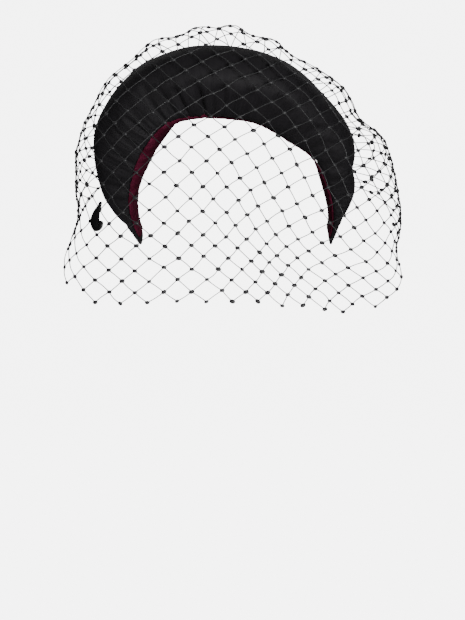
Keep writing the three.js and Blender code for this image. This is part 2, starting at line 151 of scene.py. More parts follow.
# How knots and threads differ from one another by chance, and the knot's pinched shape
NET_SEED = 7
KNOT_STRAY = 0.0007
KNOT_SIZE_RANGE = (0.85, 1.15)
KNOT_TILT = 0.3
KNOT_WAIST = 0.88
KNOT_SHOULDERS = 1.6
THREAD_STEPS = 7
THREAD_BOW = 0.00035
THREAD_LIFT = 0.0003
THREAD_SWELL = 0.4
HOLLOW_MIDDLE = (0, 0, -0.05)

# The fold that takes up cloth in the middle of the veil, and how the diamonds right of it sag and spread
CELL_HALF_ANGLE = math.radians(43)
FOLD_WIDTH = 0.036
FOLD_FROM = -0.098
FOLD_TO = 0.032
FOLD_TOP = -0.018
FOLD_BOTTOM = 0.140
RIDGE_HEIGHT = 0.012
SAG_SHARE = 0.276
SAG_FROM = -0.027
SAG_SHIFT = 0.034
SAG_REACH = 0.100
SAG_SOFTNESS = 0.074
SPREAD_SHARE = 0.12
SPREAD_FROM = -0.009
SPREAD_WIDTH = 0.075
FLAT_SHARE = 0.145
FLAT_FROM = -0.102

# The curled tab, and the place on the net where it is tied
TAB_LENGTH = 0.024
TAB_WIDTH = 0.0085
TAB_CLOTH = 0.0006
TAB_STAND = 0.0022
TAB_RISING = -0.111
TAB_FALLING = -0.027
TAB_FACING = 0.6
TAB_GRID = (10, 34)
TAB_CUP = 0.45
TAB_CREASE = 0.0004
TAB_CREASES_OFTEN = (2.2, 1.5)
TAB_HOOK_LIFT = 0.0010
TAB_HOOK_ROWS = (5.0, 7.0)
TAB_PROBE_SHARE = 0.12
TAB_WAY_STEP = 0.05

# Sections of the arch from the left end over the crown to the right end: across and rise are shares of the
# half width and the height, thick and deep of the sizes above, and twist and edge are in degrees. The edge
# is where the lining ends on the lip.
ARCH_ROWS = np.array(
    [
        # across, rise, thick, deep, twist, edge
        (-0.89, -1.00, 0.11, 0.34, 4, 46),
        (-0.95, -0.855, 0.20, 0.46, 7, 50),
        (-0.94, -0.65, 0.55, 0.64, 12, 53),
        (-0.82, -0.42, 0.90, 0.84, 17, 55),
        (-0.68, -0.245, 1.00, 0.95, 22, 50),
        (-0.49, -0.085, 1.00, 1.00, 19, 50),
        (-0.22, 0.00, 1.00, 1.00, 5, 48),
        (0.06, 0.00, 1.00, 1.00, 0, 30),
        (0.33, -0.045, 0.95, 0.97, 0, 24),
        (0.62, -0.17, 0.83, 0.91, 0, 24),
        (0.87, -0.315, 0.69, 0.80, 4, 32),
        (0.97, -0.49, 0.55, 0.70, 10, 42),
        (1.05, -0.665, 0.44, 0.60, 13, 42),
        (1.10, -0.855, 0.17, 0.46, 8, 42),
        (1.08, -1.00, 0.10, 0.34, 4, 42),
    ]
)

# Puckers round the front lip: place on the arch, depth and spread
PUCKER_ROWS = [
    (0.165, 0.0006, 0.0060),
    (0.225, 0.0010, 0.0060),
    (0.265, 0.0008, 0.0050),
    (0.310, 0.0026, 0.0050),
    (0.335, 0.0008, 0.0040),
    (0.355, 0.0022, 0.0045),
    (0.380, 0.0008, 0.0040),
    (0.400, 0.0026, 0.0045),
    (0.433, 0.0065, 0.0042),
    (0.452, 0.0010, 0.0040),
    (0.475, 0.0014, 0.0060),
    (0.500, 0.0008, 0.0040),
    (0.530, 0.0012, 0.0060),
    (0.580, 0.0016, 0.0070),
    (0.620, 0.0008, 0.0050),
    (0.660, 0.0012, 0.0070),
    (0.740, 0.0010, 0.0070),
    (0.820, 0.0008, 0.0070),
]

# The rim where the net turns back, by the angle from straight up in degrees: left and right are how far it
# stands off the pad, as shares of the flare, and back is a share of VEIL_BACK
RIM_ROWS = np.array(
    [
        # turn, left, right, back
        (0, 0.22, 0.22, -0.10),
        (20, 0.21, 0.18, -0.06),
        (40, 0.17, 0.12, 0.02),
        (60, 0.15, 0.27, 0.12),
        (75, 0.15, 0.20, 0.20),
        (84, 0.16, 0.38, 0.24),
        (92, 0.25, 0.42, 0.28),
        (106, 0.28, 0.55, 0.32),
        (115, 0.46, 0.66, 0.33),
        (121, 0.69, 0.76, 0.32),
        (127.5, 0.99, 1.04, 0.30),
    ]
)

# The curled tab from its upper tip to its hooked end: aside and down are shares of its length, and wide is a
# share of its width
TAB_ROWS = np.array(
    [
        # aside, down, wide
        (0.13, 0.00, 0.30),
        (0.09, 0.16, 0.50),
        (0.01, 0.38, 0.84),
        (-0.01, 0.62, 1.00),
        (0.06, 0.82, 1.00),
        (0.17, 0.90, 0.92),
        (0.25, 0.82, 0.74),
        (0.26, 0.72, 0.42),
    ]
)

ACROSS_WAY = np.array([1.0, 0.0, 0.0])
ARCH_UP = np.array([0.0, -math.sin(LEAN), math.cos(LEAN)])
ARCH_FRONT = np.array([0.0, -math.cos(LEAN), -math.sin(LEAN)])
TINY = 1e-9


def table_at(keys, values, x):
    """Hermite curve through a table's column, at each x on its key column."""
    x = np.clip(np.asarray(x, float), keys[0], keys[-1])
    last = len(keys) - 1
    index = np.arange(last + 1)
    before = np.maximum(index - 1, 0)
    after = np.minimum(index + 1, last)
    slope = (values[after] - values[before]) / (keys[after] - keys[before])
    low = np.clip(np.searchsorted(keys, x, side="left") - 1, 0, last - 1)
    span = keys[low + 1] - keys[low]
    t = (x - keys[low]) / span
    rise = 3 * t**2 - 2 * t**3
    ends = slope[low] * t * (1 - t) ** 2 + slope[low + 1] * t * t * (t - 1)
    return values[low] + (values[low + 1] - values[low]) * rise + span * ends


def smooth(x, start, end):
    """0 at start and 1 at end, with a soft change between them, whichever is larger."""
    t = np.clip((x - start) / (end - start), 0, 1)
    return t * t * (3 - 2 * t)


# Handling of pieces

SEAM_MERGE = 0.000002


def pick(piece):
    """Makes a piece the only one selected, and the active one."""
    bpy.ops.object.select_all(action="DESELECT")
    piece.select_set(True)
    bpy.context.view_layer.objects.active = piece


def new_piece(name, add, **settings):
    """A new piece from one primitive."""
    bpy.ops.object.select_all(action="DESELECT")
    add(**settings)
    piece = bpy.context.object
    piece.name = name
    piece.data.name = name
    return piece


def new_cloth(name, grid):
    """A flat cloth with a grid along and across it, and a UV map that keeps each point's place on it."""
    along, across = grid
    add = bpy.ops.mesh.primitive_grid_add
    return new_piece(name, add, x_subdivisions=along, y_subdivisions=across, size=1, calc_uvs=True)


def finish_with(piece, kind, **settings):
    """Gives a piece a modifier and applies it."""
    modifier = piece.modifiers.new(kind.lower(), kind)
    for key, value in settings.items():
        setattr(modifier, key, value)
    pick(piece)
    bpy.ops.object.modifier_apply(modifier=modifier.name)


def close_up(piece, distance=SEAM_MERGE):
    """Merges points that meet at a seam or an end, and faces the piece outwards."""
    pick(piece)
    bpy.ops.object.mode_set(mode="EDIT")
    bpy.ops.mesh.select_all(action="SELECT")
    bpy.ops.mesh.remove_doubles(threshold=distance)
    bpy.ops.mesh.normals_make_consistent(inside=False)
    bpy.ops.object.mode_set(mode="OBJECT")
    bpy.ops.object.shade_smooth()


def vectors_of(piece, kind):
    """One vector for each of a piece's points."""
    vectors = np.empty(len(piece.data.vertices) * 3)
    piece.data.vertices.foreach_get(kind, vectors)
    return vectors.reshape(-1, 3)


def points_of(piece):
    """Places of a piece's points."""
    return vectors_of(piece, "co")


def normals_of(piece):
    """Ways out of a piece at its points."""
    return vectors_of(piece, "normal")


def move_points(piece, points):
    """Puts a piece's points at new places."""
    piece.data.vertices.foreach_set("co", np.ascontiguousarray(points, float).ravel())
    piece.data.update()


def cloth_shares(piece):
    """Each point's place on its cloth, as shares along and across it, from the piece's UV map."""
    mesh = piece.data
    corners = np.empty(len(mesh.loops), int)
    mesh.loops.foreach_get("vertex_index", corners)
    places = np.empty(len(mesh.loops) * 2)
    mesh.uv_layers.active.uv.foreach_get("vector", places)
    shares = np.zeros((len(mesh.vertices), 2))
    shares[corners] = places.reshape(-1, 2)
    return shares[:, 0], shares[:, 1]


class Paint:
    """A material's nodes, each made and joined in one call. A setting is a value or another's output."""

    def __init__(self, name):
        self.material = bpy.data.materials.new(name)
        self.material.use_nodes = True
        self.tree = self.material.node_tree
        self.shader = next(node for node in self.tree.nodes if node.type == "BSDF_PRINCIPLED")

    def feed(self, socket, value):
        """Gives an input a plain value, or joins it to an output."""
        if isinstance(value, bpy.types.NodeSocket):
            self.tree.links.new(value, socket)
        else:
            socket.default_value = value

    def node(self, kind, **settings):
        """A new node, with settings that are either its own or its inputs'."""
        made = self.tree.nodes.new(kind)
        for key, value in settings.items():
            if hasattr(made, key):
                setattr(made, key, value)
            else:
                self.feed(made.inputs[key.replace("_", " ").title()], value)
        return made

    def set(self, **values):
        """Settings of the finish itself."""
        for key, value in values.items():
            wanted = key.replace("_", " ")
            self.feed(next(socket for socket in self.shader.inputs if socket.name.lower() == wanted), value)

    def cloth_place(self, scale):
        """Place on the cloth, multiplied by a scale along and across it."""
        place = self.node("ShaderNodeUVMap", uv_map="UVMap")
        mapping = self.node("ShaderNodeMapping", vector=place.outputs["UV"], scale=(*scale, 1))
        return mapping.outputs["Vector"]

    def cloth_ribs(self, often, **settings):
        """Ribs that run across the cloth."""
        ribs = self.node("ShaderNodeTexWave", vector=self.cloth_place(often), **settings)
        ribs.wave_type = "BANDS"
        ribs.bands_direction = "X"
        ribs.wave_profile = "SIN"
        return ribs.outputs["Fac"]

    def cloth_noise(self, often, detail):
        """Uneven spots on the cloth, so often along and across it."""
        spots = self.node("ShaderNodeTexNoise", vector=self.cloth_place(often), scale=1.0, detail=detail)
        spots.noise_dimensions = "2D"
        return spots.outputs["Fac"]

    def ramp(self, source, stops):
        """Colours between stops, each of them a value of the source and its colour."""
        made = self.node("ShaderNodeValToRGB", fac=source)
        band = made.color_ramp
        while len(band.elements) < len(stops):
            band.elements.new(0.5)
        for element, (place, color) in zip(band.elements, stops):
            element.position = place
            element.color = (*color, 1)
        return made.outputs["Color"]

    def mathed(self, operation, a, b):
        """Two values put together by one operation."""
        made = self.node("ShaderNodeMath", operation=operation)
        for value, socket in zip((a, b), made.inputs):
            self.feed(socket, value)
        return made.outputs["Value"]

    def bumped(self, height, distance, strength):
        """The surface's way out, tilted by a height that shows in the light alone."""
        made = self.node("ShaderNodeBump", distance=distance, strength=strength)
        self.feed(made.inputs["Height"], height)
        return made.outputs["Normal"]


# Camera, paper and light

CAMERA_PLACE = (0.0053, -1.680, -0.164)
CAMERA_LENS = 120.4
SENSOR_SIZE = 36
FLOOR_Z = -0.39
ROOM_RADIUS = 6.0
ROOM_HEIGHT = 7.0
ROOM_CORNER = 1.5
PAPER_GLOW = 6.0
ROOM_LIGHT = 0.03
LAMP_TARGET = (0, 0, -0.03)

# Lamps: name, place, size and power
LAMPS = [
    ("key", (0.50, -1.85, -0.10), (0.7, 0.6), 24),
    ("low", (-0.45, -1.75, -0.50), (0.7, 0.6), 3),
    ("back_left", (-0.9, 1.6, 1.5), (1.2, 1.2), 5),
    ("back_right", (0.9, 1.6, 1.5), (1.2, 1.2), 5),
]


def add_camera():
    """A level camera in front of the band."""
    bpy.ops.object.camera_add(location=CAMERA_PLACE, rotation=(math.pi / 2, 0, 0))
    camera = bpy.context.object
    camera.data.sensor_fit = "VERTICAL"
    camera.data.sensor_height = SENSOR_SIZE
    camera.data.sensor_width = SENSOR_SIZE
    camera.data.lens = CAMERA_LENS
    camera.data.dof.use_dof = False
    bpy.context.scene.camera = camera


def add_paper():
    """A round room of pale paper whose floor curves up into its wall. It glows, and lights nothing else."""
    middle = (0, 0, FLOOR_Z + ROOM_HEIGHT / 2)
    add = bpy.ops.mesh.primitive_cylinder_add
    paper = new_piece("paper", add, vertices=96, radius=ROOM_RADIUS, depth=ROOM_HEIGHT, location=middle)
    bpy.ops.object.transform_apply(location=True)
    vertices = paper.data.vertices
    for edge in paper.data.edges:
        edge.select = all(vertices[end].co.z < FLOOR_Z + ROOM_HEIGHT / 2 for end in edge.vertices)
    for face in paper.data.polygons:
        face.select = False
    bpy.ops.object.mode_set(mode="EDIT")
    bpy.ops.mesh.select_mode(type="EDGE")
    bpy.ops.mesh.bevel(offset=ROOM_CORNER, segments=10)
    bpy.ops.mesh.select_all(action="SELECT")
    bpy.ops.mesh.flip_normals()
    bpy.ops.object.mode_set(mode="OBJECT")
    paper.visible_diffuse = False
    paper.visible_glossy = False
    paper.visible_shadow = False
    paint = Paint("pale_paper")
    paint.set(base_color=(0.8, 0.8, 0.8, 1), roughness=0.9, specular_ior_level=0.1)
    paint.set(emission_color=(1, 1, 1, 1), emission_strength=PAPER_GLOW)
    paper.data.materials.append(paint.material)


def add_lamp(name, place, size, power):
    """A flat lamp that faces the band."""
    bpy.ops.object.light_add(type="AREA", location=place)
    lamp = bpy.context.object
    lamp.name = name
    lamp.data.shape = "RECTANGLE"
    lamp.data.size, lamp.data.size_y = size
    lamp.data.energy = power
    lamp.rotation_euler = (Vector(LAMP_TARGET) - Vector(place)).to_track_quat("-Z", "Y").to_euler()


def add_lights():
    """The lamps, and a little light from the whole room."""
    for lamp in LAMPS:
        add_lamp(*lamp)
    world = bpy.context.scene.world or bpy.data.worlds.new("room")
    bpy.context.scene.world = world
    world.use_nodes = True
    back = world.node_tree.nodes["Background"]
    back.inputs["Color"].default_value = (1, 1, 1, 1)
    back.inputs["Strength"].default_value = ROOM_LIGHT


add_camera()
add_paper()
add_lights()

# The padded arch

ALONG_ROWS = np.linspace(0, 1, len(ARCH_ROWS))
ALONG_STEP = 0.004


def arch_place(along):
    """The arch's line in its own leaning plane: across, and up."""
    across = table_at(ALONG_ROWS, ARCH_ROWS[:, 0], along) * ARCH_HALF_WIDTH
    return np.stack([across, table_at(ALONG_ROWS, ARCH_ROWS[:, 1], along) * ARCH_HEIGHT], -1)


def arch_sections(along):
    """The arch's sections: the middle of the inner wall, the ways out, forward and along, and the sizes."""
    along = np.atleast_1d(np.asarray(along, float))
    way = arch_place(np.minimum(along + ALONG_STEP, 1)) - arch_place(np.maximum(along - ALONG_STEP, 0))
    way /= np.linalg.norm(way, axis=1)[:, None]
    place = arch_place(along)
    plain = -way[:, 1:] * ACROSS_WAY + way[:, :1] * ARCH_UP
    twist = np.radians(table_at(ALONG_ROWS, ARCH_ROWS[:, 4], along))[:, None]
    return {
        "seat": place[:, :1] * ACROSS_WAY + place[:, 1:] * ARCH_UP,
        "out": plain * np.cos(twist) - ARCH_FRONT * np.sin(twist),
        "front": ARCH_FRONT * np.cos(twist) + plain * np.sin(twist),
        "tangent": way[:, :1] * ACROSS_WAY + way[:, 1:] * ARCH_UP,
        "thick": table_at(ALONG_ROWS, ARCH_ROWS[:, 2], along) * PAD_THICKNESS,
        "deep": table_at(ALONG_ROWS, ARCH_ROWS[:, 3], along) * PAD_DEPTH,
        "edge": np.radians(table_at(ALONG_ROWS, ARCH_ROWS[:, 5], along)),
    }


def section_point(section, out, front):
    """Points so far out of and in front of the middle of the inner wall."""
    return section["seat"] + section["out"] * out[:, None] + section["front"] * front[:, None]


def pad_point(section, turn, shrink=1.0):
    """Points on the pad's skin at a turn round each section, from the inner wall by the front lip."""
    c = np.cos(turn)
    s = np.sin(turn)
    power = 2 / np.where(c > 0, INNER_ROUNDNESS, OUTER_ROUNDNESS)
    half = section["thick"] / 2
    out = half - half * shrink * np.sign(c) * np.abs(c) ** power
    return section_point(section, out, section["deep"] / 2 * shrink * np.sign(s) * np.abs(s) ** power)


def noise_at(points, often, octaves):
    """Seedless noise of about -1 to 1 at each point, the same in each run."""
    found = [noise.fractal(Vector(point) * often, 1.0, 2.0, octaves) for point in points.tolist()]
    return np.array(found)


def noise_on_cloth(along, across, often, layer, octaves):
    """Noise at places on a cloth, so often along and across it. Each layer has noise of its own."""
    places = np.stack([along * often[0], across * often[1], np.full(len(along), layer)], -1)
    return noise_at(places, 1.0, octaves)


def pad_skin(share, turn, fullness=1.0):
    """Points of the pad's skin at shares of its length, with its two ends rounded off."""
    end = np.clip(np.maximum(END_SHARE - share, share - 1 + END_SHARE) / END_SHARE, 0, 1) * np.pi / 2
    sections = arch_sections(along_of(share))
    shift = END_ROUND * np.sin(end) * np.where(share < 0.5, -1, 1)
    sections["seat"] = sections["seat"] + sections["tangent"] * shift[:, None]
    return pad_point(sections, turn, np.cos(end) * fullness)


def along_of(share):
    """Place on the arch of a share of the pad's length."""
    return np.clip((share - END_SHARE) / (1 - 2 * END_SHARE), 0, 1)


def thickness_fade(along):
    """1 where the pad is thick, and 0 at its thin ends."""
    return smooth(table_at(ALONG_ROWS, ARCH_ROWS[:, 2], along) * PAD_THICKNESS, THIN_PAD, THICK_PAD)


def beside_lip(turn, spread):
    """1 on the front lip, and less the further a turn is from it."""
    return np.exp(-(((turn - LIP_TURN) / spread) ** 2))


def wide_folds(along, turn):
    """Wide soft folds of the satin, deepest beside the front lip."""
    folds = noise_on_cloth(along, turn, WIDE_FOLDS_OFTEN, 7.0, 1)
    return WIDE_FOLD_DEPTH * folds * beside_lip(turn, WIDE_FOLD_SPREAD)


def lip_gathers(along, turn):
    """How far the satin is drawn in round the front lip, in puckers and in gathers that fan out from it."""
    drawn = np.zeros(len(along))
    for middle, depth, spread in PUCKER_ROWS:
        drawn += depth * np.exp(-(((along - middle) / spread) ** 2))
    gathers = GATHER_DEPTH * noise_on_cloth(along, turn, GATHERS_OFTEN, 0.0, 2)
    gathers = gathers + FINE_GATHER_DEPTH * noise_on_cloth(along, turn, FINE_GATHERS_OFTEN, 3.0, 2)
    return drawn * beside_lip(turn, PUCKER_SPREAD) + gathers * beside_lip(turn, GATHER_SPREAD)


def fill_with_wadding(pad, turn):
    """Blows the satin out by a short cloth simulation, held where it is sewn to the inner wall."""
    before = points_of(pad)
    sewn = pad.vertex_groups.new(name="sewn")
    from_wall = np.minimum(turn, 2 * np.pi - turn)
    weights = 1 - smooth(from_wall, HELD_TURN, FREE_TURN)
    for index, weight in enumerate(weights.tolist()):
        sewn.add([index], weight, "REPLACE")
    wadding = pad.modifiers.new("wadding", "CLOTH")
    for key, value in WADDING.items():
        setattr(wadding.settings, key, value)
    wadding.settings.effector_weights.gravity = 0
    wadding.settings.vertex_group_mass = sewn.name
    wadding.point_cache.frame_start = 1
    wadding.point_cache.frame_end = WADDING_FRAMES
    for frame_number in range(1, WADDING_FRAMES + 1):
        bpy.context.scene.frame_set(frame_number)
    pick(pad)
    bpy.ops.object.modifier_apply(modifier=wadding.name)
    bpy.context.scene.frame_set(1)
    moved = points_of(pad) - before
    length = np.linalg.norm(moved, axis=1)[:, None]
    move_points(pad, before + moved * np.minimum(1, WADDING_REACH / np.maximum(length, TINY)))
    pad.vertex_groups.clear()


def pad_places(pad):
    """Each point's share of the pad's length, its place along the arch and its turn round the pad."""
    share, round_share = cloth_shares(pad)
    return share, along_of(share), round_share * 2 * np.pi


def press_in(pad, depth):
    """Moves the pad's skin inwards by a depth at each point."""
    move_points(pad, points_of(pad) - normals_of(pad) * depth[:, None])


def halo_pad():
    """The satin tube: wrapped round the arch, filled, and gathered in at the front lip."""
    pad = new_cloth("satin_pad", PAD_GRID)
    share, _, turn = pad_places(pad)
    move_points(pad, pad_skin(share, turn, COVER_FULLNESS))
    close_up(pad)
    _, along, turn = pad_places(pad)
    press_in(pad, wide_folds(along, turn) * thickness_fade(along))
    fill_with_wadding(pad, turn)
    finish_with(pad, "SUBSURF", levels=1, render_levels=1)
    _, along, turn = pad_places(pad)
    dents = DENT_DEPTH * noise_at(points_of(pad), DENTS_OFTEN, 2)
    press_in(pad, (lip_gathers(along, turn) + dents) * thickness_fade(along))
    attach(pad, "root")
    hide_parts("halo_pad")
    return pad


def black_satin():
    """Black satin with fine ribs that run over the pad from front to back, and slubs along them."""
    paint = Paint("black_satin")
    cloth_size = (PAD_LENGTH * 2, PAD_GIRTH)
    ribs = paint.cloth_ribs(cloth_size, scale=120, distortion=0.6, detail=1.0, detail_scale=40.0)
    slubs = paint.cloth_noise((310, 7), 3.0)
    weave = paint.cloth_noise((750, 180), 2.0)
    height = paint.mathed("ADD", paint.mathed("MULTIPLY", ribs, 0.6), slubs)
    height = paint.mathed("ADD", height, paint.mathed("MULTIPLY", weave, 0.35))
    shade = paint.ramp(slubs, [(0.3, (0.0225, 0.0208, 0.0235)), (0.7, (0.0275, 0.0255, 0.0285))])
    gloss = paint.node("ShaderNodeMapRange", value=weave, to_min=0.58, to_max=0.70)
    tangent = paint.node("ShaderNodeTangent", direction_type="UV_MAP", uv_map="UVMap")
    paint.set(base_color=shade, normal=paint.bumped(height, 0.00015, 0.35))
    paint.set(roughness=gloss.outputs["Result"], specular_ior_level=0.18)
    paint.set(anisotropic=0.4, tangent=tangent.outputs["Tangent"])
    paint.set(sheen_weight=0.03, sheen_roughness=0.5)
    return paint.material


# The lining ribbon on the inner wall


def skin_normal(section, turn):
    """Way out of the pad's inner skin at a turn round each section."""
    power = 2 - 2 / INNER_ROUNDNESS
    out = -(np.cos(turn) ** power) / section["thick"]
    front = np.sign(turn) * np.abs(np.sin(turn)) ** power / section["deep"]
    normal = section["out"] * out[:, None] + section["front"] * front[:, None]
    return normal / np.linalg.norm(normal, axis=1)[:, None]


def lining():
    """The ribbon lies on the inner wall and over its lip, drawn down at its stitches and rippled between."""
    ribbon = new_cloth("lining_ribbon", LINING_GRID)
    share, across = cloth_shares(ribbon)
    along = LINING_ENDS + (1 - 2 * LINING_ENDS) * share
    aside = 2 * across - 1
    sections = arch_sections(along)
    stitch = np.abs(np.sin(along * STITCHES * np.pi))
    scallop = STITCH_SCALLOP * (1 - stitch) * np.maximum(aside, 0) ** 4
    turn = LINING_BACK_TURN + (sections["edge"] - LINING_BACK_TURN) * across - scallop
    ripple = RIPPLE_HEIGHT * (0.5 + 0.5 * noise_on_cloth(along, aside, RIPPLES_OFTEN, 0.0, 3))
    edge = np.abs(aside) ** 6
    pull = STITCH_PULL * (1 - stitch) * edge
    stand = SEAM_GAP + (ripple - pull + LINING_STAND) * (1 - EDGE_HOLD * edge)
    stand -= lip_gathers(along, turn) * thickness_fade(along)
    move_points(ribbon, pad_point(sections, turn) + skin_normal(sections, turn) * stand[:, None])
    close_up(ribbon)
    outside = (normals_of(ribbon) * sections["out"]).sum(1).mean() < 0
    finish_with(ribbon, "SOLIDIFY", thickness=LINING_CLOTH, offset=1 if outside else -1)
    close_up(ribbon, 0.0)
    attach(ribbon, "root")
    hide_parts("inner_band")
    return ribbon


def burgundy_ribbon():
    """Burgundy grosgrain, whose ribs run across the ribbon."""
    paint = Paint("burgundy_ribbon")
    ribs = paint.cloth_ribs((1, 0.1), scale=87, distortion=0.5)
    folds = paint.cloth_noise((70, 1.6), 3.0)
    height = paint.mathed("ADD", paint.mathed("MULTIPLY", ribs, 0.4), folds)
    shade = paint.ramp(folds, [(0.32, (0.105, 0.0100, 0.0290)), (0.68, (0.175, 0.0190, 0.0540))])
    paint.set(base_color=shade, normal=paint.bumped(height, 0.0004, 0.8))
    paint.set(roughness=0.6, specular_ior_level=0.12)
    return paint.material


# The net: flat cloth laid over the front, turned back over a rim and drawn in to the back of the pad

ACROSS_SHARE = math.cos(CELL_HALF_ANGLE)
RISE_SHARE = math.sin(CELL_HALF_ANGLE)


def soft_ramp(x, start, softness):
    """0 well before its start, and then as far as x is past it."""
    past = x - start
    eased = (past + softness) ** 2 / (4 * softness)
    return np.where(np.abs(past) > softness, np.maximum(past, 0), eased)


def flat_place(rising, falling):
    """Flat place of the cloth as seen from the front: across, and up from the veil's centre."""
    taken = FOLD_WIDTH * smooth(rising, FOLD_FROM, FOLD_TO) * smooth(falling, FOLD_TOP, FOLD_BOTTOM)
    start = SAG_FROM + SAG_SHIFT * smooth(falling, SAG_REACH, 0)
    sag = SAG_SHARE * soft_ramp(rising, start, SAG_SOFTNESS)
    spread = SPREAD_SHARE * np.clip(rising - SPREAD_FROM, 0, SPREAD_WIDTH)
    rise = NET_LIFT + (rising - falling) * RISE_SHARE
    flatter = FLAT_SHARE * np.maximum(FLAT_FROM - CENTRE_Z - rise, 0)
    across = NET_SHIFT + (rising + falling) * ACROSS_SHARE
    return across - taken + spread, rise - sag + flatter


# The pad as seen from the front: angles of its middle line round the veil's centre, and its reach from there
SIGHT_STEPS = 61
SIGHT_SIDES = 24
SIGHT_ALONG = np.linspace(0, 1, SIGHT_STEPS)
SIGHT_SECTIONS = arch_sections(SIGHT_ALONG)


def middles_of(sections):
    """Middles of the pad's sections."""
    return sections["seat"] + sections["out"] * (sections["thick"] / 2)[:, None]


def reach_of(points):
    """How far points are from the veil's centre, as seen from the front."""
    return np.hypot(points[:, 0], points[:, 2] - CENTRE_Z)


SIGHT_MIDDLES = middles_of(SIGHT_SECTIONS)
SIGHT_ANGLES = np.arctan2(SIGHT_MIDDLES[:, 0], SIGHT_MIDDLES[:, 2] - CENTRE_Z)
SIGHT_TURNS = [np.full(SIGHT_STEPS, 2 * np.pi * side / SIGHT_SIDES) for side in range(SIGHT_SIDES)]
SIGHT_REACH = np.max([reach_of(pad_point(SIGHT_SECTIONS, turn)) for turn in SIGHT_TURNS], axis=0)


def rim_at(angle):
    """The rim at each angle: how far out and how far back it lies."""
    corner = RIM_ROWS[-1, 0]
    turn = np.minimum(np.degrees(np.abs(angle)), corner)
    at = np.where(angle < 0, -1, 1) * np.radians(turn)
    left = table_at(RIM_ROWS[:, 0], RIM_ROWS[:, 1], turn)
    right = table_at(RIM_ROWS[:, 0], RIM_ROWS[:, 2], turn)
    reach = table_at(SIGHT_ANGLES, SIGHT_REACH, at) + VEIL_FLARE * np.where(angle < 0, left, right)
    wide = np.sin(np.abs(at)) / np.maximum(np.sin(np.abs(angle)), HANG_LIMIT)
    reach = np.where(np.degrees(np.abs(angle)) > corner, reach * np.maximum(wide, 1), reach)
    return reach, VEIL_BACK * table_at(RIM_ROWS[:, 0], RIM_ROWS[:, 3], turn)


def sewn_points(angle):
    """Where the net is sewn to the back of the pad."""
    sections = arch_sections(table_at(SIGHT_ANGLES, SIGHT_ALONG, angle))
    skin = pad_point(sections, np.full(len(sections["thick"]), SEWN_TURN))
    away = skin - middles_of(sections)
    return skin + away / np.linalg.norm(away, axis=1)[:, None] * (SEAM_GAP + THREAD_RADIUS)


FRONT_STEPS = 36
BACK_STEPS = 20


def veil_lines(angle):
    """Lines of the cloth from the middle of the front over the rim to the pad, and their lengths."""
    reach, back = rim_at(angle)
    a = np.linspace(0, np.pi / 2, FRONT_STEPS + 1)[None]
    out = reach[:, None] * np.sin(a) ** (2 / RIM_ROUNDNESS)
    flat = -VEIL_FRONT + VEIL_RISE_BACK * out * np.cos(angle)[:, None]
    depth = back[:, None] + (flat - back[:, None]) * np.cos(a) ** (2 / RIM_ROUNDNESS)
    sewn = sewn_points(angle)
    end = reach_of(sewn)
    points = [
        np.stack([reach, back], -1),
        np.stack([reach, (back + sewn[:, 1]) / 2], -1),
        np.stack([end + TURN_IN_SHARE * (reach - end), sewn[:, 1] + TURN_IN_BACK], -1),
        np.stack([end, sewn[:, 1]], -1),
    ]
    t = np.linspace(0, 1, BACK_STEPS + 1)[1:][None, :, None]
    shares = ((1 - t) ** 3, 3 * (1 - t) ** 2 * t, 3 * (1 - t) * t * t, t**3)
    curve = sum(share * point[:, None] for share, point in zip(shares, points))
    line = np.concatenate([np.stack([out, depth], -1), curve], 1)
    steps = np.linalg.norm(np.diff(line, axis=1), axis=2)
    lengths = np.concatenate([np.zeros((len(line), 1)), np.cumsum(steps, 1)], 1)
    return line, lengths


CLEAR_STEPS = 121
CLEAR = arch_sections(np.linspace(0, 1, CLEAR_STEPS))
CLEAR_MIDDLES = middles_of(CLEAR)


def clear_of_pad(points, clearance):
    """Pushes points out of the pad, so that the net lies on it."""
    nearest = ((points[:, None, :] - CLEAR_MIDDLES[None]) ** 2).sum(2).argmin(1)
    away = points - CLEAR_MIDDLES[nearest]
    out = CLEAR["out"][nearest]
    front = CLEAR["front"][nearest]
    r = (away * out).sum(1)
    s = (away * front).sum(1)
    t = (away * CLEAR["tangent"][nearest]).sum(1)
    power = np.where(r < 0, INNER_ROUNDNESS, OUTER_ROUNDNESS)
    half_thick = CLEAR["thick"][nearest] / 2
    half_deep = CLEAR["deep"][nearest] / 2
    inside = (np.abs(r) / half_thick) ** power + (np.abs(s) / half_deep) ** power
    across = np.hypot(r, s) + TINY
    skin = across / np.maximum(inside, TINY) ** (1 / power)
    push = np.maximum(skin + clearance - across, 0) / across
    push = np.where(np.abs(t) > PAD_END_REACH, 0, push)
    return points + out * (r * push)[:, None] + front * (s * push)[:, None]


def wave_at(angle):
    """Waves of the cloth round the rim, from -1 to 1: short ones that crowd and spread, and longer ones."""
    short_waves = np.sin(angle * RUFFLE_COUNT + WAVE_CROWDING * np.sin(CROWDS * angle))
    long_waves = np.sin(angle * RUFFLE_COUNT * LONG_WAVE_COUNT + LONG_WAVE_START)
    return SHORT_WAVES * short_waves + LONG_WAVES * long_waves


